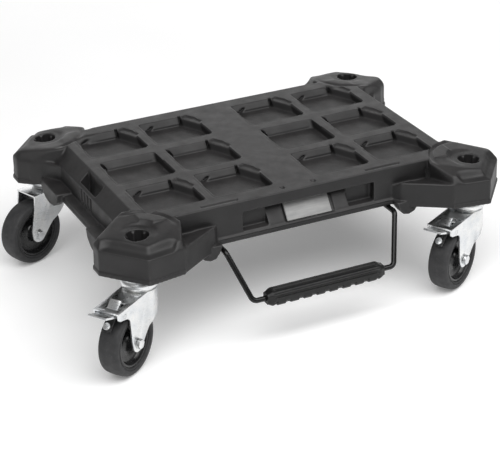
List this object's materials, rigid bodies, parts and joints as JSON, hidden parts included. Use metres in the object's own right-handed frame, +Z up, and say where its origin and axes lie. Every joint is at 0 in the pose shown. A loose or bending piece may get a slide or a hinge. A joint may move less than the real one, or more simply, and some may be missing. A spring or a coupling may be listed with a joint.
{
  "type": "tool box dolly",
  "caption": "Flat wheeled dolly with foot pockets and hand slots in its moulded deck, swivel casters with foot brakes, and a fold-away wire pull handle.",
  "frame": {"origin": "centre of the flat deck top; the floor under the wheels is at z = -0.2015 m", "axes": "+X along the long side to the right as seen from the handle side, +Y from the handle side to the back, +Z up"},
  "size_m": [0.6863, 0.5062, 0.2015],
  "materials": {
    "deck_plastic": "fine moulded texture, satin",
    "plate_grey": "smooth satin",
    "zinc_plate": "bright zinc plate",
    "black_steel": "black oxide",
    "tyre_rubber": "matt rubber",
    "hub_plastic": "moulded, slightly glossy",
    "black_wire": "gloss black coating",
    "grip_rubber": "matt ribbed rubber"
  },
  "bodies": {
    "deck": {"deck_shell": "deck_plastic", "front_plate": "plate_grey", "caster_bolt_front_left": "black_steel", "caster_nut_front_left": "zinc_plate", "swivel_cup_front_left": "zinc_plate", "caster_bolt_front_right": "black_steel", "caster_nut_front_right": "zinc_plate", "swivel_cup_front_right": "zinc_plate", "caster_bolt_rear_left": "black_steel", "caster_nut_rear_left": "zinc_plate", "swivel_cup_rear_left": "zinc_plate", "caster_bolt_rear_right": "black_steel", "caster_nut_rear_right": "zinc_plate", "swivel_cup_rear_right": "zinc_plate"},
    "swivel_front_left": {"fork_front_left": "zinc_plate", "axle_sleeve_front_left": "zinc_plate", "axle_bolt_front_left": "zinc_plate", "axle_nut_front_left": "zinc_plate", "brake_pin_front_left": "zinc_plate"},
    "wheel_front_left": {"tyre_front_left": "tyre_rubber", "hub_front_left": "hub_plastic"},
    "brake_front_left": {"brake_pedal_front_left": "zinc_plate", "brake_screw_front_left": "zinc_plate"},
    "swivel_front_right": {"fork_front_right": "zinc_plate", "axle_sleeve_front_right": "zinc_plate", "axle_bolt_front_right": "zinc_plate", "axle_nut_front_right": "zinc_plate", "brake_pin_front_right": "zinc_plate"},
    "wheel_front_right": {"tyre_front_right": "tyre_rubber", "hub_front_right": "hub_plastic"},
    "brake_front_right": {"brake_pedal_front_right": "zinc_plate", "brake_screw_front_right": "zinc_plate"},
    "swivel_rear_left": {"fork_rear_left": "zinc_plate", "axle_sleeve_rear_left": "zinc_plate", "axle_bolt_rear_left": "zinc_plate", "axle_nut_rear_left": "zinc_plate"},
    "wheel_rear_left": {"tyre_rear_left": "tyre_rubber", "hub_rear_left": "hub_plastic"},
    "swivel_rear_right": {"fork_rear_right": "zinc_plate", "axle_sleeve_rear_right": "zinc_plate", "axle_bolt_rear_right": "zinc_plate", "axle_nut_rear_right": "zinc_plate"},
    "wheel_rear_right": {"tyre_rear_right": "tyre_rubber", "hub_rear_right": "hub_plastic"},
    "handle": {"handle_wire": "black_wire", "handle_grip": "grip_rubber"}
  },
  "joints": [
    {"name": "swivel_turn_front_left", "type": "hinge", "parent": "deck", "child": "swivel_front_left", "pos_m": [-0.266, -0.1885, -0.085], "axis": [0, 0, 1], "continuous": true},
    {"name": "wheel_roll_front_left", "type": "hinge", "parent": "swivel_front_left", "child": "wheel_front_left", "pos_m": [-0.30057, -0.21288, -0.1515], "axis": [0.5764, -0.8171, 0], "continuous": true},
    {"name": "brake_press_front_left", "type": "hinge", "parent": "swivel_front_left", "child": "brake_front_left", "pos_m": [-0.3232, -0.22885, -0.0948], "axis": [0.5764, -0.8171, 0], "range_deg": [0, 14]},
    {"name": "swivel_turn_front_right", "type": "hinge", "parent": "deck", "child": "swivel_front_right", "pos_m": [0.266, -0.1885, -0.085], "axis": [0, 0, 1], "continuous": true},
    {"name": "wheel_roll_front_right", "type": "hinge", "parent": "swivel_front_right", "child": "wheel_front_right", "pos_m": [0.22937, -0.20965, -0.1515], "axis": [0.5, -0.866, 0], "continuous": true},
    {"name": "brake_press_front_right", "type": "hinge", "parent": "swivel_front_right", "child": "brake_front_right", "pos_m": [0.20538, -0.2235, -0.0948], "axis": [0.5, -0.866, 0], "range_deg": [0, 14]},
    {"name": "swivel_turn_rear_left", "type": "hinge", "parent": "deck", "child": "swivel_rear_left", "pos_m": [-0.266, 0.1885, -0.085], "axis": [0, 0, 1], "continuous": true},
    {"name": "wheel_roll_rear_left", "type": "hinge", "parent": "swivel_rear_left", "child": "wheel_rear_left", "pos_m": [-0.30525, 0.17272, -0.1515], "axis": [0.373, -0.9278, 0], "continuous": true},
    {"name": "swivel_turn_rear_right", "type": "hinge", "parent": "deck", "child": "swivel_rear_right", "pos_m": [0.266, 0.1885, -0.085], "axis": [0, 0, 1], "continuous": true},
    {"name": "wheel_roll_rear_right", "type": "hinge", "parent": "swivel_rear_right", "child": "wheel_rear_right", "pos_m": [0.22766, 0.17062, -0.1515], "axis": [0.4226, -0.9063, 0], "continuous": true},
    {"name": "handle_fold", "type": "hinge", "parent": "deck", "child": "handle", "pos_m": [0, -0.15, -0.0628], "axis": [1, 0, 0], "range_deg": [0, 140]}
  ]
}
